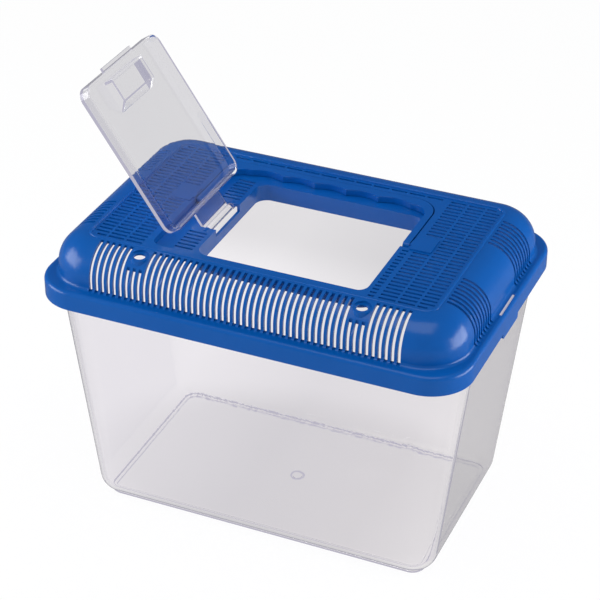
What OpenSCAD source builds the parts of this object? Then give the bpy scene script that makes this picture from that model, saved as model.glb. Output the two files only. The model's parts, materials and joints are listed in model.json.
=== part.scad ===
// Plastic pet keeper: a clear tapered tub with a lift-off ventilated lid. The lid carries a clear
// hinged flap over its feeding opening and a folding U-shaped carry handle.
// Millimetres. +Z is up, the origin is under the middle of the tub, X runs along the long side.

/* [Tub] */
// Length of the tub outside, where the walls would meet the table
tub_l = 250; // [230:1:256]
// Width of the tub outside, where the walls would meet the table
tub_w = 146; // [120:1:152]
// Height of the tub to the top of its flange
tub_h = 182.2; // [150:0.1:220]
// How far each wall of the tub leans out over its height
tub_flare = 21.25; // [10:0.05:22]
// Radius of the tub's upright corners, where the walls would meet the table
tub_corner_r = 16; // [12:0.5:26]
// Thickness of the tub wall and floor
tub_t = 2.2; // [1.6:0.1:3]
// Outside radius between wall and floor
tub_heel_r = 14; // [8:0.5:18]
// Height of the raised foot ring under the floor
foot_h = 1.3; // [0.8:0.1:2]
// Width of the foot ring
foot_w = 3; // [2:0.1:5]
// Distance from the tub wall to the outside of the foot ring, at the table
foot_in = 6.5; // [5:0.1:8]
// Thickness of the flange round the mouth
flange_t = 2.2; // [1.6:0.1:3]
// How far the flange stands out of the tub's short walls
flange_side_w = 1.05; // [0.8:0.05:3]
// How far the flange stands out of the tub's long walls
flange_long_w = 5.05; // [3:0.05:7]

/* [Lid rim and shoulder] */
// Corner radius of the skirt
rim_corner_r = 29.5; // [24:0.5:36]
// Height of the skirt
skirt_h = 13.5; // [9:0.5:18]
// Wall thickness of the lid
lid_t = 2; // [1.6:0.1:2.4]
// Rounding of the skirt's top edge
rim_round = 3; // [2.2:0.1:3.2]
// Width of the flat ledge at the short sides, from the skirt's outside to the shoulder
ledge_w = 6.5; // [6:0.1:9]
// Width of the flat ledge at the long sides
long_ledge_w = 8.5; // [6:0.1:10]
// Plan radius of the shoulder's corners at the ledge
shoulder_corner_r = 30; // [27:0.5:36]
// Radius of the quarter-round shoulder
shoulder_r = 21.5; // [16:0.5:24]
// Upright part of the shoulder below its quarter round
shoulder_wall_h = 6.5; // [4:0.5:12]
// Fillet between the ledge and the shoulder
ledge_fillet = 2.5; // [1:0.1:3]
// Width of the rounded ridge line round the top deck
ridge_w = 2.4; // [1.6:0.1:3]

/* [Vents] */
// Distance between the middles of neighbouring slots
slot_pitch = 4.3; // [4:0.05:4.3]
// Width of the slots in the shoulder
slot_w = 2.2; // [1.4:0.1:2.6]
// How far down the round of the back shoulder its slots start
back_slot_drop = 12; // [8:0.5:16]
// Least plain length beyond the last slot of a long shoulder
vent_plain = 1.5; // [1:0.1:6]
// Least plain length beyond the last slot of a short shoulder
side_plain = 5; // [2:0.1:6]
// Distance from the lid's middle to the first slot of a group on the short shoulders
side_slot_start = 24.8; // [18:0.1:26]
// Width of the slots in the top deck
deck_slot_w = 1.9; // [1.2:0.1:2.4]
// Width of the ribs between the columns of deck slots
deck_rib_w = 1.6; // [1:0.1:3]
// Distance from one rib to the next
deck_col_w = 13; // [9:0.1:16]
// Diameter of the hanging holes in the long shoulders
hole_d = 7.6; // [5:0.1:8]
// Outside diameter of the rings round those holes
ring_d = 12; // [11:0.1:12.6]
// Thickness of those rings at the hole
ring_t = 1.4; // [1:0.1:2]
// Distance of those holes from the last slot, in slot pitches
hole_in = 7; // [4:1:10]

/* [Recess and opening] */
// Depth of the recess that the flap and the handle lie in
recess_d = 4.5; // [4:0.1:5.5]
// Width of the slotted grille on each side of the recess
grille_w = 42; // [38:0.5:50]
// Width of the deck strip behind the recess
back_strip = 7.5; // [6:0.1:10]
// Width of the deck strip in front of the recess
front_strip = 5.5; // [4:0.1:8]
// Corner radius at the back of the recess
recess_back_r = 17.5; // [12:0.5:20]
// Corner radius at the front of the recess
recess_front_r = 8; // [5:0.5:12]
// Floor thickness of the recess
recess_t = 2; // [1.4:0.1:2.4]
// Width of the recess floor left of the opening, under the hinge
left_ledge = 28.5; // [27:0.1:30]
// Width of the recess floor right of the opening, under the handle's arm
right_ledge = 5.5; // [5.2:0.1:6]
// Width of the recess floor in front of the opening
front_ledge = 7.5; // [6:0.1:9]
// Width of the recess floor behind the opening, under the handle's grip
back_ledge = 16; // [14:0.1:18]
// Depth of the collar wall below the recess floor
collar_h = 12; // [9:0.5:16]
// Corner radius of the opening
open_r = 9; // [6:0.5:12]

/* [Flap] */
// Gap between the flap's front side and the opening
flap_gap = 2; // [1:0.1:2.4]
// Gap between the flap's back side and the opening
flap_back_gap = 3; // [1:0.1:3.4]
// Gap between the flap's hinged edge and the opening
hinge_side_gap = 7.7; // [6:0.1:8]
// Gap between the flap's free edge and the opening
free_side_gap = 3.3; // [3:0.1:3.5]
// Height of the flap's border walls
flap_h = 7.7; // [7:0.1:8.4]
// Thickness of the flap
flap_t = 1.8; // [1.4:0.1:2]
// How far the flap stands open, in degrees from closed
flap_open = 124.4; // [90:0.1:125]
// Radius of the flap's hinge pin
flap_pin_r = 1.6; // [1.2:0.05:1.8]
// Distance from the hinge pin to the flap's hinged edge
tongue_l = 14.2; // [13.5:0.1:14.6]
// Depth of the hinge pin below the recess floor
hinge_drop = 2.2; // [2:0.1:2.6]
// Width of the hinge tongue
tongue_w = 36; // [25:0.5:40]
// Length of the finger well
well_l = 20.2; // [14:0.1:24]
// Width of the finger well
well_w = 37.5; // [28:0.5:42]
// Width of the latch tab
tab_w = 39; // [30:0.5:42]
// Gap between the latch tab and the wall of the opening
tab_gap = 0.35; // [0.3:0.05:0.6]
// Distance from the flap's free edge to the finger well
well_in = 8; // [5:0.5:12]

/* [Handle] */
// Thickness of the handle
handle_t = 4.6; // [3.6:0.1:4.8]
// Width of the handle's arms
arm_w = 4.6; // [4:0.1:4.7]
// Gap between the handle and the recess walls
handle_gap = 0.8; // [0.5:0.1:1]
// Width of the handle's back bar at the finger grooves
bar_w = 5.4; // [4.5:0.1:6]
// Depth of the finger grooves
finger_d = 2.9; // [1.5:0.1:3]
// Distance between neighbouring finger grooves
finger_pitch = 23.5; // [20:0.5:24]
// Position of the handle's pivots across the lid
pivot_y = 4; // [2:0.5:6]
// Radius of the handle's pivot pins
pivot_r = 1.6; // [1.2:0.05:1.65]

/* [Side clips] */
// Width of the clips on the short sides
clip_w = 28; // [20:1:36]
// How far the clip's finger tab reaches below the skirt
clip_drop = 4; // [2:0.5:6]

/* [Fits] */
// Gap between the tub's flange and the inside of the lid's skirt
flange_gap = 0.7; // [0.4:0.1:0.9]
// Gap between the tub's flange and the ledge above it
seat_gap = 0.3; // [0.2:0.05:0.4]
// Radial running gap of the hinge pins
pin_gap = 0.05; // [0.02:0.01:0.09]
// Gap between flat faces that pass each other
face_gap = 0.3; // [0.2:0.05:0.4]

/* [Hidden] */
$fn = 64;

CLEAR = [0.86, 0.87, 0.93, 0.45];
BLUE = [0.03, 0.22, 0.67];

// --- heights ---
ledge_z = tub_h + seat_gap + lid_t;      // top of the lid's flat ledge
skirt_z = ledge_z - skirt_h;             // bottom of the skirt
arc_z = ledge_z + shoulder_wall_h;       // centre height of the quarter round
shoulder_top = arc_z + shoulder_r;
deck_top = shoulder_top - 0.5;
deck_z = deck_top - lid_t;
recess_z = deck_top - recess_d;          // top of the recess floor
recess_under = recess_z - recess_t;
collar_z = recess_z - collar_h;

// --- plan centres of the corner sweeps ---
tub_cx = tub_l / 2 - tub_corner_r;
tub_cy = tub_w / 2 - tub_corner_r;
tub_draft = atan(tub_flare / tub_h);
lid_l = tub_l + 2 * (tub_flare + flange_side_w + flange_gap + lid_t);
lid_w = tub_w + 2 * (tub_flare + flange_long_w + flange_gap + lid_t);
rim_cx = lid_l / 2 - rim_corner_r;
rim_cy = lid_w / 2 - rim_corner_r;
base_x = lid_l / 2 - ledge_w;            // half length of the shoulder at the ledge
base_y = lid_w / 2 - long_ledge_w;
sh_cx = base_x - shoulder_corner_r;
sh_cy = base_y - shoulder_corner_r;
crown_r = shoulder_corner_r - shoulder_r;    // plan radius where the quarter round ends
ridge_out = crown_r + 0.4;
deck_r = ridge_out - ridge_w;            // plan radius of the deck inside the ridge
deck_hx = sh_cx + deck_r;
deck_hy = sh_cy + deck_r;

// --- vents ---
half_n = floor((sh_cx - vent_plain - slot_w) / slot_pitch);     // slots on each side of the middle one
vent_hx = half_n * slot_pitch + slot_w;  // half length of a slotted long shoulder
side_slot_n = 1 + floor((sh_cy - side_plain - side_slot_start - slot_w) / slot_pitch);
side_hy = side_slot_start + (side_slot_n - 1) * slot_pitch + slot_w + 0.4;
slot_top_r = ridge_out + 1.3;
hole_at = half_n - hole_in;
hole_r_at = crown_r + 8.5;               // how far out from the sweep's centre the holes stand
ring_z = arc_z + sqrt(pow(shoulder_r, 2) - pow(hole_r_at - crown_r, 2));    // top of the rings
deck_rows = 2 * floor((deck_hy - deck_slot_w / 2) / slot_pitch);

// --- recess and opening ---
recess_x = deck_hx - grille_w;
recess_y1 = deck_hy - back_strip;
recess_y0 = front_strip - deck_hy;
step_y = pivot_y - 6;                    // where the recess widens for the handle's arms
grille_x = recess_x + recess_t + 0.5;    // where the deck's middle part meets its grilles
rib_x = grille_x + 1.5;                  // middle of the first rib
open_x0 = left_ledge - recess_x;
open_x1 = recess_x - right_ledge;
open_y0 = recess_y0 + front_ledge;
open_y1 = recess_y1 - back_ledge;

// --- flap and opening ---
flap_x0 = open_x0 + hinge_side_gap;      // hinged edge, closed
flap_x1 = open_x1 - free_side_gap;       // free edge, closed
flap_y0 = open_y0 + flap_gap;
flap_y1 = open_y1 - flap_back_gap;
flap_y = (flap_y0 + flap_y1) / 2;
pin_x = flap_x0 - tongue_l;
flap_z = deck_top - flap_h;              // underside of the border walls, closed
knuckle_r = flap_pin_r + 0.8;
pin_z = recess_z - hinge_drop;
tongue_z = pin_z + 1.4;                  // underside of the hinge tongue, closed
boss_l = 4;
notch_x0 = pin_x - 5.5;
notch_w = tongue_w + 1.2;
tab_t = 1.8;
tab_z = flap_z + 2;
well_d = 8.5;
well_slope = 6;
catch_w = 28;                            // width of the catch under the latch tab
catch_h = 2.6;

// --- handle ---
handle_z = recess_z + face_gap;
pivot_z = handle_z + handle_t / 2;
handle_x = recess_x - handle_gap;
handle_y = recess_y1 - handle_gap;
handle_r = recess_back_r - handle_gap;
finger_n = 1 + 2 * floor((handle_x - handle_r) / finger_pitch - 0.5);
arm_end_r = handle_t / 2;
pivot_pin_l = 4.3;
pad = [recess_x + 1.5, rib_x + deck_col_w - deck_rib_w / 2, pivot_y - 8, pivot_y + 10];  // plain patch
pad_h = 0.9;

// ---------- plan outlines ----------
module span2d(x0, x1, y0, y1, r) {
    translate([x0 + r, y0]) square([x1 - x0 - 2 * r, y1 - y0]);
    translate([x0, y0 + r]) square([x1 - x0, y1 - y0 - 2 * r]);
    for (x = [x0 + r, x1 - r], y = [y0 + r, y1 - r]) translate([x, y]) circle(r);
}

module plate2d(hx, hy, r) {
    span2d(-hx, hx, -hy, hy, r);
}

module opening2d(grow) {
    span2d(open_x0 - grow, open_x1 + grow, open_y0 - grow, open_y1 + grow, open_r + grow);
}

// The recess is wider behind the pivots, where the handle's arms lie
module recess2d(grow) {
    span2d(-recess_x - grow, recess_x + grow, step_y - grow, recess_y1 + grow, recess_back_r + grow);
    span2d(-recess_x - grow, open_x1 + grow, recess_y0 - grow, recess_y1 - recess_back_r, recess_front_r + grow);
    translate([recess_x - recess_back_r, step_y - grow]) square(recess_back_r + grow);
    translate([-recess_x - grow, step_y - grow]) square(recess_back_r + 2 * grow);
}

// ---------- sweeps: x of the profile is the distance out from the corner centres ----------
module corner_sweep(cx, cy) {
    for (i = [0 : 3])
        translate([(i == 0 || i == 3) ? cx : -cx, (i < 2) ? cy : -cy, 0])
            rotate([0, 0, 90 * i]) rotate_extrude(angle = 90) children();
}

// One straight side facing +Y, from x0 to x1
module side_sweep(x0, x1, cy) {
    translate([x0, cy, 0]) rotate([90, 0, 90]) linear_extrude(x1 - x0) children();
}

module round_sweep(cx, cy) {
    corner_sweep(cx, cy) children();
    for (a = [0, 180]) rotate([0, 0, a]) side_sweep(-cx, cx, cy) children();
    for (a = [90, 270]) rotate([0, 0, a]) side_sweep(-cy, cy, cx) children();
}

// ---------- tub ----------
// Everything inside a leaning wall that turns into a flat floor through a round heel
module tub_section(wall_r, heel_r, floor_z, top_z) {
    lean = tan(tub_draft);
    hx = wall_r + (floor_z + heel_r) * lean - heel_r / cos(tub_draft);
    hz = floor_z + heel_r;
    polygon([[0, floor_z], [hx, floor_z],
             [hx + heel_r * cos(tub_draft), hz - heel_r * sin(tub_draft)],
             [wall_r + top_z * lean, top_z], [0, top_z]]);
    translate([hx, hz]) intersection() {
        circle(heel_r);
        translate([0, -heel_r]) square([heel_r, heel_r]);
    }
}

module tub_profile() {
    difference() {
        tub_section(tub_corner_r, tub_heel_r, foot_h, tub_h);
        tub_section(tub_corner_r - tub_t / cos(tub_draft), tub_heel_r - tub_t, foot_h + tub_t, tub_h + 1);
    }
    translate([tub_corner_r - foot_in - foot_w, 0]) square([foot_w, foot_h + 1.6]);
}

module tub() {
    mouth = tub_corner_r + tub_flare - tub_t / 2;
    color(CLEAR) {
        round_sweep(tub_cx, tub_cy) tub_profile();
        translate([-tub_cx, -tub_cy, foot_h]) cube([2 * tub_cx, 2 * tub_cy, tub_t]);
        translate([0, 0, tub_h - flange_t]) linear_extrude(flange_t) difference() {
            plate2d(lid_l / 2 - lid_t - flange_gap, lid_w / 2 - lid_t - flange_gap,
                    rim_corner_r - lid_t - flange_gap);
            plate2d(tub_cx + mouth, tub_cy + mouth, mouth);
        }
        // moulding mark in the middle of the floor
        translate([0, 0, foot_h + tub_t - 0.5]) cylinder(h = 0.9, r = 3.4);
        for (a = [0, 180]) rotate([0, 0, a]) clip_lug();
    }
}

// Upright lug that shows in the window of the lid's clip
module clip_lug() {
    translate([lid_l / 2 - lid_t - flange_gap - 2.2, 0.5 - clip_w / 2, tub_h - 1])
        cube([2.2, clip_w - 1, ledge_z - tub_h + 0.8]);
}

// ---------- lid ----------
// Skirt wall that turns inwards over a rounded edge to meet the ledge
module skirt_profile() {
    difference() {
        skirt_solid(0, rim_round);
        skirt_solid(lid_t, rim_round - lid_t);
        translate([0, skirt_z - 1]) square([rim_corner_r - rim_round, skirt_h + 2]);
    }
}

module skirt_solid(inset, r) {
    out = rim_corner_r - inset;
    translate([0, skirt_z - inset]) square([out, skirt_h - r]);
    translate([0, skirt_z - inset]) square([out - r, skirt_h]);
    translate([out - r, ledge_z - inset - r]) circle(r);
}

module lid_rim() {
    color(BLUE) difference() {
        union() {
            round_sweep(rim_cx, rim_cy) skirt_profile();
            translate([0, 0, ledge_z - lid_t]) linear_extrude(lid_t) difference() {
                plate2d(lid_l / 2 - rim_round, lid_w / 2 - rim_round, rim_corner_r - rim_round);
                plate2d(base_x, base_y, shoulder_corner_r);
            }
            for (a = [0, 180]) rotate([0, 0, a]) clip_tab();
        }
        for (a = [0, 180]) rotate([0, 0, a]) clip_window();
    }
}

// Finger tab that hangs below the skirt in the middle of each short side
module clip_tab() {
    translate([lid_l / 2 - lid_t, 0, skirt_z]) rotate([90, 0, 90]) linear_extrude(lid_t)
        translate([-clip_w / 2 - 1, -clip_drop]) {
            translate([2, 0]) square([clip_w - 2, clip_drop + 1]);
            translate([0, 2]) square([clip_w + 2, clip_drop - 1]);
            for (x = [2, clip_w]) translate([x, 2]) circle(2);
        }
}

module clip_window() {
    translate([lid_l / 2 - lid_t - flange_gap - 2.5, -clip_w / 2, ledge_z - lid_t - 1])
        cube([2.8, clip_w, lid_t + 2]);
}

// Wall and quarter round of the shoulder, its fillet on the ledge, and the ridge line at its top
module shoulder_profile() {
    difference() {
        shoulder_solid(shoulder_r, 0);
        shoulder_solid(shoulder_r - lid_t, 1);
    }
    translate([shoulder_corner_r, ledge_z]) difference() {
        square(ledge_fillet);
        translate([ledge_fillet, ledge_fillet]) circle(ledge_fillet);
    }
    translate([deck_r, deck_z]) square([ridge_w, lid_t]);
    translate([deck_r + ridge_w / 2, deck_top]) circle(ridge_w / 2);
}

// Everything under a quarter round of radius r; over lets a hollow run out through its open sides
module shoulder_solid(r, over) {
    intersection() {
        translate([crown_r, arc_z]) circle(r);
        translate([crown_r - over, arc_z]) square([r + over, r]);
    }
    translate([crown_r - over, ledge_z - lid_t - over]) square([r + over, arc_z - ledge_z + lid_t + over]);
    translate([crown_r - over, arc_z - 1]) square([over + 0.01, r + 1]);
}

// The four plain corners of the shoulder, out to where the slotted stretches start
module lid_corners() {
    color(BLUE) {
        corner_sweep(sh_cx, sh_cy) shoulder_profile();
        for (a = [0, 180], m = [0, 1]) rotate([0, 0, a]) mirror([m, 0, 0])
            side_sweep(vent_hx, sh_cx, sh_cy) shoulder_profile();
        for (a = [90, 270], m = [0, 1]) rotate([0, 0, a]) mirror([m, 0, 0])
            side_sweep(side_hy, sh_cy, sh_cx) shoulder_profile();
    }
}

// A slot across the shoulder, from near the ridge down to the ledge
module shoulder_slot(x, cy, from_r) {
    translate([x - slot_w / 2, cy + from_r, ledge_z])
        cube([slot_w, shoulder_corner_r - from_r + ledge_fillet + 1, shoulder_top - ledge_z + 2]);
}

// Long shoulder with its row of slots, which start lower beside each hole
module slotted_side(from_r, from_hole_r) {
    difference() {
        side_sweep(-vent_hx, vent_hx, sh_cy) shoulder_profile();
        for (i = [-half_n : half_n])
            shoulder_slot(i * slot_pitch, sh_cy, abs(abs(i) - hole_at) < 2 ? from_hole_r : from_r);
    }
}

module holed_side() {
    difference() {
        slotted_side(slot_top_r, hole_r_at + ring_d / 2 + 1);
        hole_places() translate([0, 0, ring_z - ring_t - shoulder_r]) cylinder(h = 2 * shoulder_r, d = ring_d);
    }
    difference() {
        hole_places() {
            translate([0, 0, ring_z - ring_t]) cylinder(h = ring_t, d = ring_d + 0.02);
            ring_wall();
        }
        hole_places() translate([0, 0, ring_z - ring_t - 1]) cylinder(h = ring_t + 2, d = hole_d);
    }
}

module hole_places() {
    for (s = [-1, 1]) translate([s * hole_at * slot_pitch, sh_cy + hole_r_at, 0]) children();
}

// Round wall that carries a ring's outer half down to the shoulder, open underneath
module ring_wall() {
    wall_z = ledge_z + shoulder_wall_h;
    difference() {
        translate([0, 0, wall_z]) cylinder(h = ring_z - wall_z - 0.01, d = ring_d + 0.02);
        translate([0, 0, wall_z - 1]) cylinder(h = ring_z - ring_t - wall_z + 1, d = ring_d - 2.8);
        translate([0, -sh_cy - hole_r_at, 0])
            side_sweep(-ring_d, ring_d, sh_cy) shoulder_solid(shoulder_r - lid_t, 1);
    }
}

module front_vent() {
    color(BLUE) rotate([0, 0, 180]) holed_side();
}

module back_vent() {
    color(BLUE) slotted_side(crown_r + back_slot_drop, crown_r + back_slot_drop);
}

module short_vent() {
    difference() {
        side_sweep(-side_hy, side_hy, sh_cx) shoulder_profile();
        for (s = [-1, 1], i = [0 : side_slot_n - 1])
            shoulder_slot(s * (side_slot_start + i * slot_pitch), sh_cx, slot_top_r);
    }
}

module left_vent() {
    color(BLUE) rotate([0, 0, 90]) short_vent();
}

module right_vent() {
    color(BLUE) rotate([0, 0, -90]) short_vent();
}

module pad2d(grow) {
    translate([pad[0] - grow, pad[2] - grow])
        square([pad[1] - pad[0] + 2 * grow, pad[3] - pad[2] + 2 * grow]);
}

// Flat side of the deck with its rows and columns of fine slots
module grille() {
    cols = ceil((deck_hx - rib_x) / deck_col_w);
    translate([0, 0, deck_z]) linear_extrude(lid_t) difference() {
        intersection() {
            plate2d(deck_hx, deck_hy, deck_r);
            translate([grille_x, -deck_hy]) square([deck_hx, 2 * deck_hy]);
        }
        translate([grille_x - 1, pad[2]]) square([pad[1] - grille_x + 1, pad[3] - pad[2]]);
        for (c = [0 : cols - 1], r = [0 : deck_rows - 1]) {
            y = (r - (deck_rows - 1) / 2) * slot_pitch;
            x0 = rib_x + deck_rib_w / 2 + c * deck_col_w;
            x1 = min(x0 + deck_col_w - deck_rib_w, deck_hx - (abs(y) > deck_hy - deck_r ? deck_r - 2 : 1.3));
            if (x1 > x0 + deck_slot_w && (c > 0 || y < pad[2] - deck_slot_w || y > pad[3] + deck_slot_w))
                translate([x0, y - deck_slot_w / 2]) square([x1 - x0, deck_slot_w]);
        }
    }
}

module left_grille() {
    color(BLUE) mirror([1, 0, 0]) grille();
}

module right_grille() {
    color(BLUE) grille();
}

// Middle of the deck: handle and flap recess, opening with its collar, pivot and hinge bosses
module lid_deck() {
    color(BLUE) difference() {
        union() {
            translate([0, 0, deck_z]) linear_extrude(lid_t) difference() {
                union() {
                    translate([-grille_x, -deck_hy]) square([2 * grille_x, 2 * deck_hy]);
                    for (m = [0, 1]) mirror([m, 0, 0]) translate([grille_x - 1, pad[2]])
                        square([pad[1] - grille_x + 1, pad[3] - pad[2]]);
                }
                recess2d(0);
                back_row2d();
                front_column2d();
            }
            translate([0, 0, recess_under]) linear_extrude(recess_d + recess_t) difference() {
                recess2d(recess_t);
                recess2d(0);
            }
            translate([0, 0, recess_under]) linear_extrude(recess_t) difference() {
                recess2d(recess_t);
                opening2d(0);
                ledge_slots2d();
            }
            translate([0, 0, collar_z]) linear_extrude(collar_h) difference() {
                opening2d(lid_t);
                opening2d(0);
            }
            for (m = [0, 1]) mirror([m, 0, 0]) pivot_boss();
            hinge_bosses();
        }
        for (m = [0, 1]) mirror([m, 0, 0]) pin_bore(recess_x - 0.5, pivot_y, pivot_z, pivot_r, 5);
        translate([pin_x, flap_y - notch_w / 2 - boss_l - 1, pin_z]) rotate([-90, 0, 0])
            cylinder(h = notch_w + 2 * boss_l + 2, r = flap_pin_r + pin_gap);
        hinge_notch();
    }
    color(BLUE) translate([open_x1 - free_side_gap + 1, flap_y - catch_w / 2, tab_z - 0.2 - catch_h])
        cube([free_side_gap - 1 + lid_t / 2, catch_w, catch_h]);
}

// Fine slots in the narrow strip behind the recess
module back_row2d() {
    cols = round(2 * recess_x / deck_col_w);
    col_w = 2 * recess_x / cols;
    for (c = [0 : cols - 1])
        translate([-recess_x + c * col_w + deck_rib_w / 2, (recess_y1 + recess_t + deck_hy - deck_slot_w) / 2])
            square([col_w - deck_rib_w, deck_slot_w]);
}

// Short slots between the opening's right wall and the right grille, in front of the pivot
module front_column2d() {
    for (r = [0 : deck_rows - 1]) {
        y = (r - (deck_rows - 1) / 2) * slot_pitch;
        if (y < pad[2] - deck_slot_w)
            translate([open_x1 + recess_t + 1, y - deck_slot_w / 2])
                square([grille_x - open_x1 - recess_t - 1.6, deck_slot_w]);
    }
}

// Short slots in the recess floor, before and behind the hinge
module ledge_slots2d() {
    for (r = [0 : deck_rows - 1]) {
        y = (r - (deck_rows - 1) / 2) * slot_pitch;
        if (y > open_y0 + 1 && y < open_y1 - 1 && abs(y - flap_y) > notch_w / 2 + boss_l + 1.5)
            translate([open_x0 - left_ledge + 12.5, y - deck_slot_w / 2])
                square([left_ledge - 15.5, deck_slot_w]);
    }
}

module pivot_boss() {
    translate([recess_x + recess_t - 0.5, pivot_y - 5, recess_under]) cube([5, 10, deck_top - recess_under]);
    translate([0, 0, deck_top]) linear_extrude(pad_h) {
        pad2d(0);
        translate([recess_x + 0.2, pivot_y - 3]) square([pad[0] - recess_x, 6]);
    }
}

module pin_bore(x, y, z, r, l) {
    translate([x, y, z]) rotate([0, 90, 0]) cylinder(h = l, r = r + pin_gap);
}

module hinge_bosses() {
    for (y = [flap_y - notch_w / 2 - boss_l, flap_y + notch_w / 2]) {
        translate([pin_x - knuckle_r - 0.3, y, pin_z]) cube([2 * knuckle_r + 0.6, boss_l, recess_z - pin_z]);
        translate([pin_x, y, pin_z]) rotate([-90, 0, 0]) cylinder(h = boss_l, r = knuckle_r + 0.3);
    }
}

module hinge_notch() {
    translate([notch_x0, flap_y - notch_w / 2, pin_z - knuckle_r - 0.8])
        cube([open_x0 - notch_x0 + 0.5, notch_w, recess_z - pin_z + knuckle_r + 2]);
}

// ---------- flap, drawn closed and then swung open about its pin ----------
module flap_closed() {
    r = open_r - flap_gap + 1;
    difference() {
        union() {
            translate([0, 0, deck_top - flap_t]) linear_extrude(flap_t) span2d(flap_x0, flap_x1, flap_y0, flap_y1, r);
            translate([0, 0, flap_z]) linear_extrude(flap_h) difference() {
                span2d(flap_x0, flap_x1, flap_y0, flap_y1, r);
                span2d(flap_x0 + flap_t, flap_x1 - flap_t, flap_y0 + flap_t, flap_y1 - flap_t, r - flap_t);
            }
            translate([0, flap_y, 0]) finger_well_shape(flap_t);
        }
        translate([0, flap_y, 0]) finger_well_shape(0);
    }
    translate([flap_x1 - 0.5, flap_y - tab_w / 2, tab_z]) cube([free_side_gap - tab_gap + 0.5, tab_w, tab_t]);
    // hinge tongue with its knuckle and pin
    translate([pin_x, flap_y - tongue_w / 2, tongue_z])
        cube([tongue_l + flap_t / 2, tongue_w, flap_t]);
    translate([pin_x, flap_y - tongue_w / 2, pin_z]) rotate([-90, 0, 0])
        cylinder(h = tongue_w, r = knuckle_r);
    translate([pin_x, flap_y - notch_w / 2 - boss_l + 0.5, pin_z]) rotate([-90, 0, 0])
        cylinder(h = notch_w + 2 * boss_l - 1, r = flap_pin_r);
}

// Well beside the free edge, with a sloping inner end; t is how much larger it is than its hollow
module finger_well_shape(t) {
    x1 = flap_x1 - well_in;
    x0 = x1 - well_l;
    low = deck_top - well_d + flap_t - t;
    top = deck_top + (t > 0 ? 0 : 1);
    translate([0, well_w / 2 + t, 0]) rotate([90, 0, 0]) linear_extrude(well_w + 2 * t)
        polygon([[x0 - t, top], [x1 + t, top], [x1 + t, low], [x0 + well_slope - t / 2, low],
                 [x0 - t, deck_top - flap_t / 2]]);
}

module flap() {
    color(CLEAR) translate([pin_x, 0, pin_z]) rotate([0, -flap_open, 0]) translate([-pin_x, 0, -pin_z])
        flap_closed();
}

// ---------- handle ----------
module handle2d() {
    inner_y = handle_y - bar_w - finger_d;
    inner_x = handle_x - arm_w;
    reach = handle_y - pivot_y;
    groove_r = (pow(finger_pitch / 2, 2) + finger_d * finger_d) / (2 * finger_d);
    difference() {
        span2d(-handle_x, handle_x, pivot_y - reach, handle_y, handle_r);
        span2d(-inner_x, inner_x, pivot_y - 2 * reach, inner_y, handle_r - arm_w);
        translate([-handle_x - 1, pivot_y - 2 * reach]) square([2 * handle_x + 2, 2 * reach]);
        for (i = [0 : finger_n - 1])
            translate([(i - (finger_n - 1) / 2) * finger_pitch, inner_y + finger_d - groove_r]) circle(groove_r);
    }
}

module handle() {
    color(BLUE) {
        translate([0, 0, handle_z]) linear_extrude(handle_t) handle2d();
        for (s = [-1, 1]) {
            translate([s * (handle_x - arm_w / 2) - arm_w / 2, pivot_y, pivot_z]) rotate([0, 90, 0])
                cylinder(h = arm_w, r = arm_end_r);
            translate([s > 0 ? handle_x - 1 : -handle_x - pivot_pin_l, pivot_y, pivot_z]) rotate([0, 90, 0])
                cylinder(h = pivot_pin_l + 1, r = pivot_r);
        }
    }
}

tub();
lid_rim();
lid_corners();
front_vent();
back_vent();
left_vent();
right_vent();
left_grille();
right_grille();
lid_deck();
flap();
handle();
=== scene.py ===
# %% [markdown]
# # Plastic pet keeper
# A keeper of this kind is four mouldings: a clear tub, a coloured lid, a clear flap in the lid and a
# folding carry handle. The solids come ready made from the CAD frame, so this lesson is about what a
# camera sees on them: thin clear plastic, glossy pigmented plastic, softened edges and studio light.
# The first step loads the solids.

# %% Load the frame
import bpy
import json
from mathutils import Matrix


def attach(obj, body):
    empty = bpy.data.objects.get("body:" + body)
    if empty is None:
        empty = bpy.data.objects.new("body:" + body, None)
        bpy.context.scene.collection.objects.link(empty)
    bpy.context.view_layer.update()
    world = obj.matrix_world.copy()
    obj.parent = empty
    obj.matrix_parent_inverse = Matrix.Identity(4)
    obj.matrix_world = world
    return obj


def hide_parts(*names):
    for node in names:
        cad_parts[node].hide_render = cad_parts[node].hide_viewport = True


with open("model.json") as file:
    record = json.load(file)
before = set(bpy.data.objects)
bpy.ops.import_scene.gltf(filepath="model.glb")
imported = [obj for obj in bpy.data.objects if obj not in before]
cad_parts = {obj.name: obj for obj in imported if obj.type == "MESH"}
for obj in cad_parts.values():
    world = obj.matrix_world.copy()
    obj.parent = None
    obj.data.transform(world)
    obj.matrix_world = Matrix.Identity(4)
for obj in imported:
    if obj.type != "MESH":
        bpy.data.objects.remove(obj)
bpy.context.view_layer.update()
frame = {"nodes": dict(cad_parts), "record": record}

# %% [markdown]
# ## Tools
# Everything in the frame is in metres, while a keeper is thought of in millimetres, so one value
# turns one into the other. The lid, the flap and the handle are bodies that a joint moves, and each
# piece made here has to ride on the right one.

# %% Units and bodies
import bpy
import json
import math
from mathutils import Euler, Matrix, Vector

MM = 0.001
scene = bpy.context.scene

# %% [markdown]
# ### One object at a time
# Blender's operators act on whatever is selected, and the frame leaves its solids selected. Calling
# an operator on the wrong object is the commonest slip in a script, so a helper picks exactly one.

# %% Helper: select one object
def select_only(obj):
    bpy.ops.object.select_all(action='DESELECT')
    obj.select_set(True)
    bpy.context.view_layer.objects.active = obj


select_only(frame["nodes"]["tub"])
print("selected:", [obj.name for obj in bpy.context.selected_objects])

# %% [markdown]
# ### Nodes as recipes
# In the shader editor a node is added, its menus are set and numbers are typed into the sockets that
# stay unlinked. This helper does the same three things in one line, so the materials read as recipes.

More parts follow.
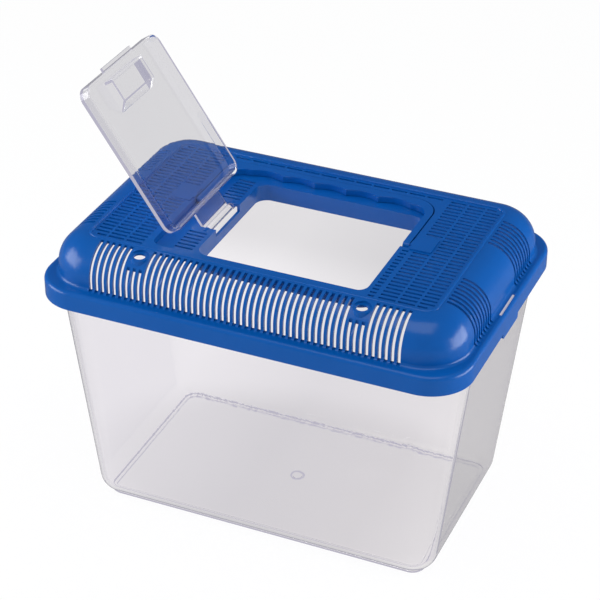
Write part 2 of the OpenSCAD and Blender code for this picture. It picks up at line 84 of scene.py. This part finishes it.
# %% Helper: a node with its values
def add_node(nodes, kind, values=None, **settings):
    node = nodes.new(kind)
    for setting, choice in settings.items():
        setattr(node, setting, choice)
    for socket, value in (values or {}).items():
        node.inputs[socket].default_value = value
    return node


print("helpers:", select_only.__name__, add_node.__name__)

# %% [markdown]
# ## Camera
# A long lens from a little to the right and well above shows the front, the right end and the deck
# with hardly any perspective. It could be aimed with a Track To constraint, but a place and three
# turns are plainer and never change. The lens is given in millimetres on a 36 mm wide film.

# %% Camera
CAMERA_PLACE = (0.46181, -1.07151, 0.87660)
AZIMUTH, ELEVATION, ROLL = 23.277, 31.868, 0.251
LENS_MM, FILM_MM, FAR_END = 121.3, 36.0, 20.0

cam_data = bpy.data.cameras.new("camera")
cam_data.lens = LENS_MM
cam_data.sensor_width = FILM_MM
cam_data.clip_end = FAR_END
camera = bpy.data.objects.new("camera", cam_data)
scene.collection.objects.link(camera)
camera.location = CAMERA_PLACE
turn = Euler((math.radians(90 - ELEVATION), 0, math.radians(AZIMUTH)), 'XYZ').to_matrix()
turn = turn @ Matrix.Rotation(math.radians(ROLL), 3, 'Z')
camera.rotation_euler = turn.to_euler('XYZ')
scene.camera = camera
print("camera at", tuple(round(v, 3) for v in camera.location))

# %% [markdown]
# ## Shared surface effect
# Injection-moulded plastic is never perfectly even. Where the melt slowed down the gloss changes a
# little, the surface carries a very fine orange-peel wave, and use leaves hairline scratches. Each
# could be painted by hand, but noise at three scales gives all of them without an image. Both
# plastics need this, so it is one node group, and each material sets the scales for itself.

# %% Node group: sockets of the moulded surface
def moulded_surface_group():
    group = bpy.data.node_groups.new("moulded_surface", "ShaderNodeTree")
    for name in ("Patch Scale", "Wave Scale", "Scratch Scale"):
        group.interface.new_socket(name=name, in_out='INPUT', socket_type='NodeSocketFloat')
    for name in ("Patches", "Waves", "Scratches"):
        group.interface.new_socket(name=name, in_out='OUTPUT', socket_type='NodeSocketFloat')
    return group


MOULDED = moulded_surface_group()
print("group sockets:", [s.name for s in MOULDED.interface.items_tree])

# %% [markdown]
# ### Inside the group
# Patches are slow noise and waves are fine noise. A scratch is long and thin, so its noise is turned
# and squeezed by a Mapping node, and only its highest crests are kept, which leaves sparse hairlines.
# Object coordinates hold the pattern still on the piece when the flap or the handle moves.

# %% Helper: one layer of noise
def noise(nodes, links, vector, scale, detail):
    layer = add_node(nodes, "ShaderNodeTexNoise", {"Detail": detail})
    links.new(vector, layer.inputs["Vector"])
    links.new(scale, layer.inputs["Scale"])
    return layer.outputs["Fac"]


SCRATCH_TURN, SCRATCH_SQUEEZE = (0.3, 0.5, 0.7), (1.0, 14.0, 6.0)
SCRATCH_FROM, SCRATCH_FULL = 0.60, 0.72
print("scratch noise squeezed by", SCRATCH_SQUEEZE)


# %% Node group: what it puts out
def fill_moulded_surface(group):
    nodes, links = group.nodes, group.links
    scales = nodes.new("NodeGroupInput").outputs
    result = nodes.new("NodeGroupOutput").inputs
    place = nodes.new("ShaderNodeTexCoord").outputs["Object"]
    squeezed = add_node(nodes, "ShaderNodeMapping",
                        {"Rotation": SCRATCH_TURN, "Scale": SCRATCH_SQUEEZE})
    links.new(place, squeezed.inputs["Vector"])
    crests = add_node(nodes, "ShaderNodeMapRange",
                      {"From Min": SCRATCH_FROM, "From Max": SCRATCH_FULL})
    streaks = noise(nodes, links, squeezed.outputs["Vector"], scales["Scratch Scale"], detail=2.0)
    links.new(streaks, crests.inputs["Value"])
    patches = noise(nodes, links, place, scales["Patch Scale"], detail=3.0)
    waves = noise(nodes, links, place, scales["Wave Scale"], detail=1.0)
    links.new(patches, result["Patches"])
    links.new(waves, result["Waves"])
    links.new(crests.outputs["Result"], result["Scratches"])


fill_moulded_surface(MOULDED)
print("nodes in the group:", len(MOULDED.nodes))

# %% [markdown]
# ## Starting a plastic
# Both plastics begin as a Principled shader with the moulded surface beside it. The real pieces come
# from the same kind of machine and have lived the same life, so they share the three scales too.

# %% Helper: start of a plastic
PATCH_SCALE, WAVE_SCALE, SCRATCH_SCALE = 18.0, 420.0, 90.0


def start_material(name):
    mat = bpy.data.materials.new(name)
    mat.use_nodes = True
    nodes, links = mat.node_tree.nodes, mat.node_tree.links
    scales = {"Patch Scale": PATCH_SCALE, "Wave Scale": WAVE_SCALE, "Scratch Scale": SCRATCH_SCALE}
    surface = add_node(nodes, "ShaderNodeGroup", scales, node_tree=MOULDED)
    return mat, nodes, links, nodes["Principled BSDF"], surface


print("surface scales per metre:", PATCH_SCALE, WAVE_SCALE, SCRATCH_SCALE)

# %% [markdown]
# ### From masks to colour, gloss and ripple
# A mask runs from 0 to 1. It mixes two near shades for the colour, or is spread over the range that
# a socket needs, such as a roughness. The wave goes through a Bump node, because ripples a hundredth
# of a millimetre high are far too fine to be modelled.

# %% Helper: a colour that wanders
def mottle(nodes, links, mask, first, second, target):
    shade = add_node(nodes, "ShaderNodeMix", {"A": (*first, 1.0), "B": (*second, 1.0)},
                     data_type='RGBA')
    links.new(mask, shade.inputs["Factor"])
    links.new(shade.outputs["Result"], target)


print("colour helper:", mottle.__name__)


# %% Helpers: gloss that wanders, and the ripple
def spread(nodes, links, mask, low, high, target):
    reach = add_node(nodes, "ShaderNodeMapRange", {"To Min": low, "To Max": high})
    links.new(mask, reach.inputs["Value"])
    links.new(reach.outputs["Result"], target)


def ripple(nodes, links, wave, height, shader):
    bump = add_node(nodes, "ShaderNodeBump", {"Distance": height, "Strength": 1.0})
    links.new(wave, bump.inputs["Height"])
    links.new(bump.outputs["Normal"], shader.inputs["Normal"])


print("gloss and ripple helpers:", spread.__name__, ripple.__name__)

# %% [markdown]
# ## Blue plastic
# The lid and handle are solid-coloured polypropylene: strong blue, semi-gloss. Two flat colours
# would do for a toy, but the real one lives from its gloss, so the colour wanders only a little and
# the roughness follows the same slow patches, with the fine wave breaking up every highlight.

# %% Material: blue plastic
DEEP_BLUE, LIGHT_BLUE = (0.0006, 0.073, 0.310), (0.0013, 0.091, 0.378)
BLUE_IOR, BLUE_SHINE = 1.49, 0.4
BLUE_GLOSSY, BLUE_DULL = 0.18, 0.28
BLUE_RIPPLE = 0.03 * MM


def blue_plastic():
    mat, nodes, links, shader, surface = start_material("blue_plastic")
    patches = surface.outputs["Patches"]
    mottle(nodes, links, patches, DEEP_BLUE, LIGHT_BLUE, shader.inputs["Base Color"])
    shader.inputs["IOR"].default_value = BLUE_IOR
    shader.inputs["Specular IOR Level"].default_value = BLUE_SHINE
    spread(nodes, links, patches, BLUE_GLOSSY, BLUE_DULL, shader.inputs["Roughness"])
    ripple(nodes, links, surface.outputs["Waves"], BLUE_RIPPLE, shader)
    return mat


BLUE = blue_plastic()
print(BLUE.name, "has", len(BLUE.node_tree.nodes), "nodes")

# %% [markdown]
# ## Light that can't get out
# A thin clear wall sends some light round and round inside itself until it leaves at an edge, which
# is why edges of clear plastic look bright. A renderer gives up on such light after some bounces and
# paints it black. More bounces would cost minutes, so after the first few surfaces the shader
# changes: light that was passing through goes on through a plain transparent shader, and light that
# was reflected inside the wall meets a faint lilac emission, a painted glow that stands in for the
# light a real edge lets out. Shadow rays take the same way out, so that the clear pieces don't cast
# the shadow of a solid.

# %% Helper: a way out for late light
REAL_SURFACES = 3.5
PAINTED_EDGE_GLOW = 0.62


# The edge colour tints late light that passes on, and it is also the colour of the painted edge glow.
def let_late_light_out(nodes, links, shader, edge):
    path = nodes.new("ShaderNodeLightPath").outputs
    late = add_node(nodes, "ShaderNodeMath", {1: REAL_SURFACES}, operation='GREATER_THAN')
    late_or_shadow = add_node(nodes, "ShaderNodeMath", operation='MAXIMUM')
    passing = add_node(nodes, "ShaderNodeBsdfTransparent", {"Color": (*edge, 1.0)})
    # Painted glow: an emission that stands in for light reflected round inside the wall.
    painted_edge_glow = add_node(nodes, "ShaderNodeEmission",
                       {"Color": (*edge, 1.0), "Strength": PAINTED_EDGE_GLOW})
    way_out = nodes.new("ShaderNodeMixShader")
    mix = nodes.new("ShaderNodeMixShader")
    links.new(path["Ray Depth"], late.inputs[0])
    links.new(path["Is Shadow Ray"], late_or_shadow.inputs[0])
    links.new(late.outputs[0], late_or_shadow.inputs[1])
    links.new(path["Is Glossy Ray"], way_out.inputs["Fac"])
    links.new(passing.outputs["BSDF"], way_out.inputs[1])
    links.new(painted_edge_glow.outputs["Emission"], way_out.inputs[2])
    links.new(late_or_shadow.outputs[0], mix.inputs["Fac"])
    links.new(shader.outputs["BSDF"], mix.inputs[1])
    links.new(way_out.outputs["Shader"], mix.inputs[2])
    links.new(mix.outputs["Shader"], nodes["Material Output"].inputs["Surface"])


print("surfaces with real refraction:", math.ceil(REAL_SURFACES))

# %% [markdown]
# ## Clear plastic
# The tub and flap are clear styrene with a faint lilac-grey cast, the flap a shade greyer because
# its plate is smaller and thicker. Glass with a flat tint would look new and empty, so the gloss is
# broken by hairline scratches and the tint drifts between two near colours. The refraction is set a
# little lower than styrene's own, which keeps the thin double walls from looking like thick glass.

# %% Material: clear plastic
THIN_WALL_IOR = 1.42
CLEAN_GLOSS, SCRATCHED_GLOSS = 0.01, 0.06
CLEAR_RIPPLE = 0.01 * MM


def clear_plastic(name, light, deep, edge):
    mat, nodes, links, shader, surface = start_material(name)
    mottle(nodes, links, surface.outputs["Patches"], light, deep, shader.inputs["Base Color"])
    shader.inputs["IOR"].default_value = THIN_WALL_IOR
    shader.inputs["Transmission Weight"].default_value = 1.0
    spread(nodes, links, surface.outputs["Scratches"], CLEAN_GLOSS, SCRATCHED_GLOSS,
           shader.inputs["Roughness"])
    ripple(nodes, links, surface.outputs["Waves"], CLEAR_RIPPLE, shader)
    let_late_light_out(nodes, links, shader, edge)
    return mat


# Each edge colour tints late passing light and colours the painted edge glow.
CLEAR_TUB = clear_plastic("clear_tub", light=(0.995, 0.985, 1.0), deep=(0.98, 0.97, 0.985),
                          edge=(0.82, 0.80, 0.94))
CLEAR_FLAP = clear_plastic("clear_flap", light=(0.93, 0.93, 0.95), deep=(0.90, 0.90, 0.925),
                           edge=(0.82, 0.80, 0.97))
print("clear plastics:", CLEAR_TUB.name, CLEAR_FLAP.name)

# %% [markdown]
# ## Softened mouldings
# A steel mould has no razor edges, so every edge of a moulding is a small round that catches a line
# of light. The solids from the frame have sharp edges. A Bevel node in the shader would fake the
# line of light but leave the outline sharp, so the mesh itself is changed. First the solid is
# copied, and its loose triangles are merged into clean faces that a bevel can follow.

# %% Helper: clean copy of a solid
MERGE_GAP = 0.000004
SAME_FACE = 0.4


def clean_copy(node):
    mesh = frame["nodes"][node].data.copy()
    mesh.materials.clear()
    piece = bpy.data.objects.new(node + "_moulding", mesh)
    scene.collection.objects.link(piece)
    select_only(piece)
    bpy.ops.object.mode_set(mode='EDIT')
    bpy.ops.mesh.select_all(action='SELECT')
    bpy.ops.mesh.remove_doubles(threshold=MERGE_GAP)
    bpy.ops.mesh.dissolve_limited(angle_limit=math.radians(SAME_FACE))
    bpy.ops.object.mode_set(mode='OBJECT')
    return piece


print("corners closer than %.3f mm are merged" % (MERGE_GAP / MM))

# %% [markdown]
# ### Rounding
# A bevel rounds what turns sharply and leaves the gentle steps of a curve alone. Beveled faces
# shaded smooth would pull the shading of the broad faces beside them out of true, so weighted
# normals let the large faces decide and stay flat.

# %% Helper: rounded edges
SHARP_TURN, SMOOTH_TURN = 38.0, 32.0
FLAT_FACE_WEIGHT = 80


def round_edges(piece, width_mm, segments):
    edge = piece.modifiers.new("soft_edge", 'BEVEL')
    edge.width = width_mm * MM
    edge.segments = segments
    edge.limit_method = 'ANGLE'
    edge.angle_limit = math.radians(SHARP_TURN)
    edge.use_clamp_overlap = True
    bpy.ops.object.modifier_apply(modifier="soft_edge")
    bpy.ops.object.shade_smooth_by_angle(angle=math.radians(SMOOTH_TURN))
    flat = piece.modifiers.new("keep_flats_flat", 'WEIGHTED_NORMAL')
    flat.keep_sharp = True
    flat.weight = FLAT_FACE_WEIGHT
    bpy.ops.object.modifier_apply(modifier="keep_flats_flat")


print("edges that turn more than", SHARP_TURN, "degrees are rounded")

# %% [markdown]
# ### Taking the solid's place
# The softened copy gets its plastic, rides on the body that its solid belongs to, and stands for the
# solid from then on.

# %% Helper: softened piece
def softened(node, width_mm, material, segments=2):
    piece = clean_copy(node)
    round_edges(piece, width_mm, segments)
    piece.data.materials.append(material)
    bodies = frame["record"]["behaviour"]["bodies"]
    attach(piece, next(body for body, members in bodies.items() if node in members))
    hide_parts(node)
    print(node, "softened by", width_mm, "mm:", len(piece.data.polygons), "faces")
    return piece


print("nodes to soften:", len(frame["nodes"]))

# %% [markdown]
# ## The blue mouldings
# The handle is thick and meant for fingers, so its edges are the roundest and get more segments.
# The skirt and ledge of the lid are rounded like any thick rim. Thin bars between slots get only a
# hair of rounding, or they would vanish.

# %% Soften the handle and the lid
softened("handle", 1.3, BLUE, segments=4)
softened("lid_rim", 0.5, BLUE)
softened("lid_deck", 0.35, BLUE)
SLOTTED = ("front_vent", "back_vent", "left_vent", "right_vent", "left_grille", "right_grille")
for region in ("lid_corners",) + SLOTTED:
    softened(region, 0.3, BLUE)

# %% [markdown]
# ## The clear mouldings
# On clear plastic the rounded edge is most of what is seen: it bends the light into a bright line.
# Three segments keep that line smooth where two would show as facets.

# %% Soften the flap and the tub
flap = softened("flap", 0.5, CLEAR_FLAP, segments=3)
tub = softened("tub", 0.6, CLEAR_TUB, segments=3)

# %% [markdown]
# ## Gate mark
# The tub is filled with melt through one point in the middle of its floor, which leaves a flat disc
# with a raised ring round it. The solid has the disc. The ring could be a bump in the material, but
# then it would have no edge to catch the light, so it is a thin torus whose middle is level with the
# top of the disc and whose underside is sunk into the floor. A ray cast straight down measures the
# disc, so that the ring always fits it.

# %% Gate mark
RING_RADIUS, RING_HALF_THICKNESS = 4.6 * MM, 0.6 * MM

_, disc_top, _, _ = tub.ray_cast((0, 0, 50 * MM), (0, 0, -1))
bpy.ops.object.select_all(action='DESELECT')
bpy.ops.mesh.primitive_torus_add(major_radius=RING_RADIUS, minor_radius=RING_HALF_THICKNESS,
                                 major_segments=48, minor_segments=12,
                                 location=(0, 0, disc_top.z))
gate_mark = bpy.context.object
gate_mark.name = "gate_mark"
bpy.ops.object.transform_apply(location=True, rotation=False, scale=False)
bpy.ops.object.shade_smooth()
gate_mark.data.materials.append(CLEAR_TUB)
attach(gate_mark, "tub")
print("top of the disc in the gate mark: %.1f mm" % (disc_top.z / MM))

# %% [markdown]
# ## One look for each kind of ray
# A product stands on white, but a white room mirrored in blue plastic washes its colour out. In a
# studio black cards round the table keep the reflections dark. Here the same is done by asking what
# kind of ray is looking: the camera, and rays that come through clear plastic, see white, while
# mirrored rays see a dim room. Cards in the scene would work too, but they would show in the tub.
# The helper lays one shader over another for the named kinds of ray only.

# %% Helper: a look for some rays
def seen_by(nodes, links, below, layer, share, *rays):
    path = nodes.new("ShaderNodeLightPath").outputs
    chosen = path[rays[0]]
    for ray in rays[1:]:
        either = add_node(nodes, "ShaderNodeMath", operation='MAXIMUM')
        links.new(chosen, either.inputs[0])
        links.new(path[ray], either.inputs[1])
        chosen = either.outputs[0]
    scaled = add_node(nodes, "ShaderNodeMath", {1: share}, operation='MULTIPLY')
    mix = nodes.new("ShaderNodeMixShader")
    links.new(chosen, scaled.inputs[0])
    links.new(scaled.outputs[0], mix.inputs["Fac"])
    links.new(below.outputs[0], mix.inputs[1])
    links.new(layer.outputs[0], mix.inputs[2])
    return mix


print("kinds of ray told apart: camera, glossy and transmission")


# %% Helper: a plain glow
def glow(nodes, colour, strength, kind="ShaderNodeEmission"):
    return add_node(nodes, kind, {"Color": (*colour, 1.0), "Strength": strength})


WHITE = (1.0, 1.0, 1.0)
print("glow of the white backdrop:", WHITE)

# %% [markdown]
# ## The table through clear plastic
# Through the tub the table isn't evenly white: it is a little darker towards the middle, where the
# lid keeps light away, darker again under the keeper, and greyer far behind, where the lamps don't
# reach. These three are painted shade in a glow that only rays through clear plastic see, drawn with
# the table's own coordinates, so the painted shade stays where it is from every side. The first is a
# ramp of painted shade from left to right.

# %% Helper: painted shade from left to right
HALF_WIDTH = 0.20
# Stops of the painted shade: lighter at the sides, darker in the middle where the lid keeps light
# away.
SHADE_LEFT, SHADE_RIGHT = (0.15, (1.0, 0.99, 1.0)), (0.80, (1.0, 0.985, 0.975))
SHADE_MIDDLE = ((0.42, (0.87, 0.86, 0.87)), (0.65, (0.90, 0.885, 0.885)))


def painted_shade_across(nodes, links, x):
    across = add_node(nodes, "ShaderNodeMapRange",
                      {"From Min": -HALF_WIDTH, "From Max": HALF_WIDTH})
    shade = nodes.new("ShaderNodeValToRGB")
    stops = shade.color_ramp.elements
    for stop, (place, colour) in zip((stops[0], stops[1]), (SHADE_LEFT, SHADE_RIGHT)):
        stop.position, stop.color = place, (*colour, 1.0)
    for place, colour in SHADE_MIDDLE:
        stops.new(place).color = (*colour, 1.0)
    links.new(x, across.inputs["Value"])
    links.new(across.outputs["Result"], shade.inputs["Fac"])
    return shade.outputs["Color"]


print("table shade runs over", 2 * HALF_WIDTH, "m")

# %% [markdown]
# ### Under the keeper and behind it
# The painted shadow under the tub is an oval: the place on the table is divided by the oval's half
# sizes, so that its length is 1 on the rim. Both this and the painted fade towards the back ease in
# and out, as soft shadows do.

# %% Helpers: a soft fade and an oval
OVAL_HALF_SIZE = (0.17, 0.11)


def fade(nodes, links, distance, start, end, near, far):
    ease = add_node(nodes, "ShaderNodeMapRange",
                    {"From Min": start, "From Max": end, "To Min": near, "To Max": far},
                    interpolation_type='SMOOTHSTEP')
    links.new(distance, ease.inputs["Value"])
    return ease.outputs["Result"]


def oval_distance(nodes, links, place):
    along, deep = OVAL_HALF_SIZE
    scaled = add_node(nodes, "ShaderNodeVectorMath", {1: (1 / along, 1 / deep, 0.0)},
                      operation='MULTIPLY')
    length = add_node(nodes, "ShaderNodeVectorMath", operation='LENGTH')
    links.new(place, scaled.inputs[0])
    links.new(scaled.outputs["Vector"], length.inputs[0])
    return length.outputs["Value"]


print("oval under the tub, half sizes:", OVAL_HALF_SIZE)

# %% [markdown]
# ### All three together
# The ramp gives the painted shade its colour, and the painted shadow of the oval and the painted fade
# behind multiply into its strength.

# %% Helper: the table with painted shade, as clear plastic shows it
# Strengths of the painted shadow under the keeper and of the painted shade far behind it.
PAINTED_SHADOW_UNDER_KEEPER, OVAL_FROM, OVAL_TO = 0.88, 0.7, 1.1
PAINTED_SHADE_FAR_BEHIND, BEHIND_FROM, BEHIND_TO = 0.84, 0.24, 0.32


def painted_shade_on_table(nodes, links):
    place = nodes.new("ShaderNodeTexCoord").outputs["Object"]
    split = nodes.new("ShaderNodeSeparateXYZ")
    links.new(place, split.inputs[0])
    oval = oval_distance(nodes, links, place)
    under = fade(nodes, links, oval, OVAL_FROM, OVAL_TO, PAINTED_SHADOW_UNDER_KEEPER, 1.0)
    behind = fade(nodes, links, split.outputs["Y"], BEHIND_FROM, BEHIND_TO, 1.0, PAINTED_SHADE_FAR_BEHIND)
    both = add_node(nodes, "ShaderNodeMath", operation='MULTIPLY')
    through = nodes.new("ShaderNodeEmission")
    links.new(under, both.inputs[0])
    links.new(behind, both.inputs[1])
    links.new(painted_shade_across(nodes, links, split.outputs["X"]), through.inputs["Color"])
    links.new(both.outputs[0], through.inputs["Strength"])
    return through


print("shade under the keeper:", PAINTED_SHADOW_UNDER_KEEPER, "and far behind it:", PAINTED_SHADE_FAR_BEHIND)

# %% [markdown]
# ## Floor
# The keeper stands on a matt white table that goes on for ever. It could be lit until it is white,
# but then the keeper would burn out, so the plain matt floor carries a glow for the camera instead,
# with a small share of the plain floor left in it, which is what keeps the keeper's shadow.

# %% Material: studio floor
FLOOR_GREY, FLOOR_ROUGHNESS = (0.86, 0.86, 0.87, 1.0), 0.9
MIRRORED_FLOOR = 0.22
SEEN_THROUGH_SHARE, CAMERA_SHARE = 0.88, 0.94


def floor_material():
    mat = bpy.data.materials.new("studio_floor")
    mat.use_nodes = True
    nodes, links = mat.node_tree.nodes, mat.node_tree.links
    look = nodes["Principled BSDF"]
    look.inputs["Base Color"].default_value = FLOOR_GREY
    look.inputs["Roughness"].default_value = FLOOR_ROUGHNESS
    look.inputs["Specular IOR Level"].default_value = 0.0
    dim, white = glow(nodes, WHITE, MIRRORED_FLOOR), glow(nodes, WHITE, 1.0)
    # Rays through clear plastic see the table as a glow with painted shade and painted shadow in it.
    through = painted_shade_on_table(nodes, links)
    look = seen_by(nodes, links, look, dim, 1.0, "Is Glossy Ray")
    look = seen_by(nodes, links, look, through, SEEN_THROUGH_SHARE, "Is Transmission Ray")
    look = seen_by(nodes, links, look, white, CAMERA_SHARE, "Is Camera Ray")
    links.new(look.outputs[0], nodes["Material Output"].inputs["Surface"])
    return mat


FLOOR = floor_material()
print(FLOOR.name, "has", len(FLOOR.node_tree.nodes), "nodes")

# %% [markdown]
# ### The plane
# The plane is only scenery. It lies a hair under the foot ring, because two faces in the same place
# flicker against each other.

# %% Floor
FLOOR_SIZE, FLOOR_DROP = 8.0, 0.0002

bpy.ops.object.select_all(action='DESELECT')
bpy.ops.mesh.primitive_plane_add(size=FLOOR_SIZE, location=(0, 0, -FLOOR_DROP))
floor = bpy.context.object
floor.name = "floor"
floor.data.materials.append(FLOOR)
print("floor", FLOOR_SIZE, "m wide,", FLOOR_DROP / MM, "mm below the foot ring")

# %% [markdown]
# ## World
# The even light of a bright studio comes from all round, so the sky is a plain, slightly cool colour
# and no image is needed. As with the floor, the camera and clear plastic see white and mirrored rays
# see a dim room, because a bright one would lay a pale veil over the blue.

# %% World
SKY, SKY_STRENGTH, MIRRORED_SKY = (0.95, 0.97, 1.0), 0.72, 0.08

world = bpy.data.worlds.new("studio")
scene.world = world
world.use_nodes = True
nodes, links = world.node_tree.nodes, world.node_tree.links
sky = nodes["Background"]
sky.inputs["Color"].default_value = (*SKY, 1.0)
sky.inputs["Strength"].default_value = SKY_STRENGTH
dim = glow(nodes, SKY, MIRRORED_SKY, "ShaderNodeBackground")
white = glow(nodes, WHITE, 1.0, "ShaderNodeBackground")
look = seen_by(nodes, links, sky, dim, 1.0, "Is Glossy Ray")
look = seen_by(nodes, links, look, white, 1.0, "Is Camera Ray", "Is Transmission Ray")
links.new(look.outputs[0], nodes["World Output"].inputs["Surface"])
print("world nodes:", len(nodes))

# %% [markdown]
# ## Lamps
# In a dim room each soft lamp shows as one clear highlight, so the lamps are placed by where the
# round corners mirror them: a large one overhead for the deck, one low at the left for the left
# corner, and a small low one at the right for the front right corner and the edge of the skirt. A
# strip from the front left draws gleams on the clear pieces. An area lamp shines along its own -Z,
# so each one is turned until that axis points at its aim.

# %% Helper: a soft lamp
def lamp(name, place, aim, size, power):
    data = bpy.data.lights.new(name, 'AREA')
    data.shape = 'RECTANGLE'
    data.size, data.size_y = size
    data.energy = power
    obj = bpy.data.objects.new(name, data)
    scene.collection.objects.link(obj)
    obj.location = place
    obj.rotation_euler = (Vector(aim) - Vector(place)).to_track_quat('-Z', 'Y').to_euler()
    return obj


print("lamp helper:", lamp.__name__)

# %% Lamps: name, place, aim, size and power
LAMPS = (("top_lamp", (0.1, -0.4, 1.6), (0, 0, 0.15), (1.2, 1.0), 5.8),
         ("left_lamp", (-0.99, -0.49, 0.49), (0, 0, 0.15), (0.85, 0.6), 7.5),
         ("strip_lamp", (-0.42, -0.98, 1.0), (0, 0, 0.1), (1.1, 0.5), 11.0),
         ("right_lamp", (0.78, 0.18, 0.23), (0.1, 0, 0.15), (0.7, 0.42), 4.4))
lamps = {values[0]: lamp(*values) for values in LAMPS}
print("lamps:", list(lamps))

# %% [markdown]
# ### A lamp for the clear pieces alone
# Blue plastic would mirror the strip too, in places where no gleam belongs. Light linking, which
# gives a lamp a list of what it may reach, lets it light the tub and the flap alone.

# %% Strip lamp's reach
clear_pieces = bpy.data.collections.new("clear_pieces")
for piece in (tub, flap):
    clear_pieces.objects.link(piece)
lamps["strip_lamp"].light_linking.receiver_collection = clear_pieces

# %% [markdown]
# ## Colours
# The Standard view shows a colour about as it is written.

# %% Colour
scene.view_settings.view_transform = 'Standard'
